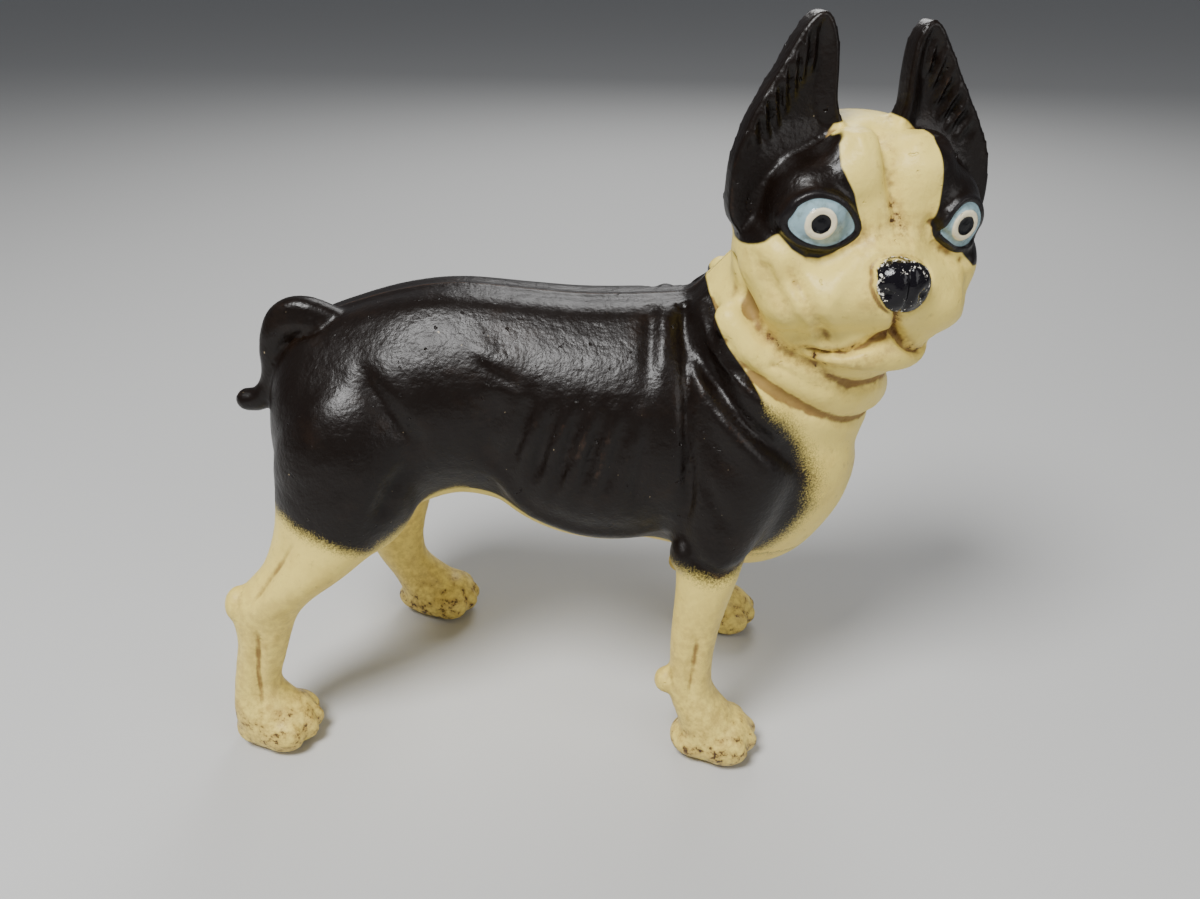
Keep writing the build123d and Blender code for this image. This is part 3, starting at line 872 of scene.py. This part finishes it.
steel = Surface("dull_steel")
tarnish = steel.step(steel.noise(2.4, 5, 0.7), 0.5, 0.68)
steel.plug(steel.finish.inputs["Base Color"], steel.mix(tarnish, (0.36, 0.34, 0.31), (0.16, 0.08, 0.04)))
steel.plug(steel.finish.inputs["Roughness"], steel.sum("ADD", 0.38, steel.sum("MULTIPLY", tarnish, 0.35)))
steel.plug(steel.finish.inputs["Metallic"], steel.sum("SUBTRACT", 1.0, steel.sum("MULTIPLY", tarnish, 0.6)))
steel.plug(steel.finish.inputs["Normal"], steel.bump(steel.noise(0.8, 4), 0.06))

washer_thickness = 1.2
washer = spun("washer_disc", [
    (3.45, seat_y + 0.12), (3.6, seat_y), (6.8, seat_y), (7, seat_y + 0.2), (7, seat_y + 1),
    (6.8, seat_y + 1.17),
    (3.6, seat_y + 1.17), (3.45, seat_y + 1.05),
])
finished(washer, steel.material, "washer", "screw_washer")

# ---- Clamp screw -----------------------------------------------------------------------
# A round-headed quarter-inch steel machine screw, twenty threads to the inch, with one
# straight driver slot. It enters from the left flank and draws the two halves together.

head_start, tip_y, pitch, crest, root = seat_y + washer_thickness, -15.0, 1.27, 3.05, 2.5
head_profile = [(0, 4.2), (1.8, 4.1), (3.6, 3.6), (5.0, 2.7), (5.8, 1.5), (6.0, 0.5), (5.85, 0), (0, 0)]
screw = spun("screw_body", [(radius, head_start + height) for radius, height in head_profile])
tool = bmesh.new()
driver_slot = Matrix.Translation((screw_x, head_start + 3.4, screw_z)) @ Matrix.Diagonal((16, 2, 1.6, 1))
bmesh.ops.create_cube(tool, size=1, matrix=driver_slot)
with_tool(screw, "DIFFERENCE", tool)
thread = bmesh.new()
turn_steps, rows = 32, int((head_start + 0.6 - tip_y) / pitch * 8)
rings = []
for row in range(rows + 1):
    y = tip_y + (head_start + 0.6 - tip_y) * row / rows
    taper = min(1, (y - tip_y) / 0.8)
    loop = []
    for step in range(turn_steps):
        angle = math.tau * step / turn_steps
        wave = abs(((y / pitch - step / turn_steps) % 1) * 2 - 1)
        radius = (root + (crest - root) * wave) * (0.78 + 0.22 * taper)
        place = (screw_x + radius * math.cos(angle), y, screw_z + radius * math.sin(angle))
        loop.append(thread.verts.new(place))
    rings.append(loop)
for lower, upper in zip(rings, rings[1:]):
    for step in range(turn_steps):
        after = (step + 1) % turn_steps
        thread.faces.new((lower[step], lower[after], upper[after], upper[step]))
thread.faces.new(rings[0])
thread.faces.new(rings[-1])
with_tool(screw, "UNION", thread)
finished(screw, steel.material, "screw", "clamp_screw")

# ---- Floor, light and camera -----------------------------------------------------------
# A plain pale floor, one soft lamp overhead to the left, a weak one to the right and one
# behind.

floor_form = bmesh.new()
bmesh.ops.create_grid(floor_form, x_segments=1, y_segments=1, size=4)
floor_mesh = bpy.data.meshes.new("floor")
floor_form.to_mesh(floor_mesh)
floor_form.free()
floor = bpy.data.objects.new("floor", floor_mesh)
floor.location.z = -0.0004
bpy.context.scene.collection.objects.link(floor)
paper = Surface("pale_paper")
paper.finish.inputs["Base Color"].default_value = (0.56, 0.56, 0.55, 1)
paper.finish.inputs["Roughness"].default_value = 0.85
floor_mesh.materials.append(paper.material)


def add_lamp(name, place, target, size, power):
    lamp = bpy.data.lights.new(name, "AREA")
    lamp.shape, lamp.size, lamp.energy = "DISK", size, power
    holder = bpy.data.objects.new(name, lamp)
    holder.location = place
    holder.rotation_euler = (Vector(target) - Vector(place)).to_track_quat("-Z", "Y").to_euler()
    bpy.context.scene.collection.objects.link(holder)


add_lamp("key_lamp", (-0.3, -0.5, 1.0), (0, 0, 0.12), 0.42, 17)
add_lamp("fill_lamp", (0.9, -0.7, 0.6), (0, 0, 0.12), 0.8, 4)
add_lamp("back_lamp", (0.1, 1.0, 0.9), (0, 0, 0.15), 0.7, 7)

world = bpy.data.worlds.new("room")
world.use_nodes = True
world.node_tree.nodes["Background"].inputs["Color"].default_value = (0.9, 0.93, 1, 1)
world.node_tree.nodes["Background"].inputs["Strength"].default_value = 0.16
bpy.context.scene.world = world

camera_data = bpy.data.cameras.new("camera")
camera_data.lens, camera_data.sensor_width = 30, 36
camera = bpy.data.objects.new("camera", camera_data)
camera.location = (0.02906, -0.31017, 0.267)
camera.rotation_euler = (math.radians(90 - 28), 0, math.radians(3.5))
bpy.context.scene.collection.objects.link(camera)
bpy.context.scene.camera = camera
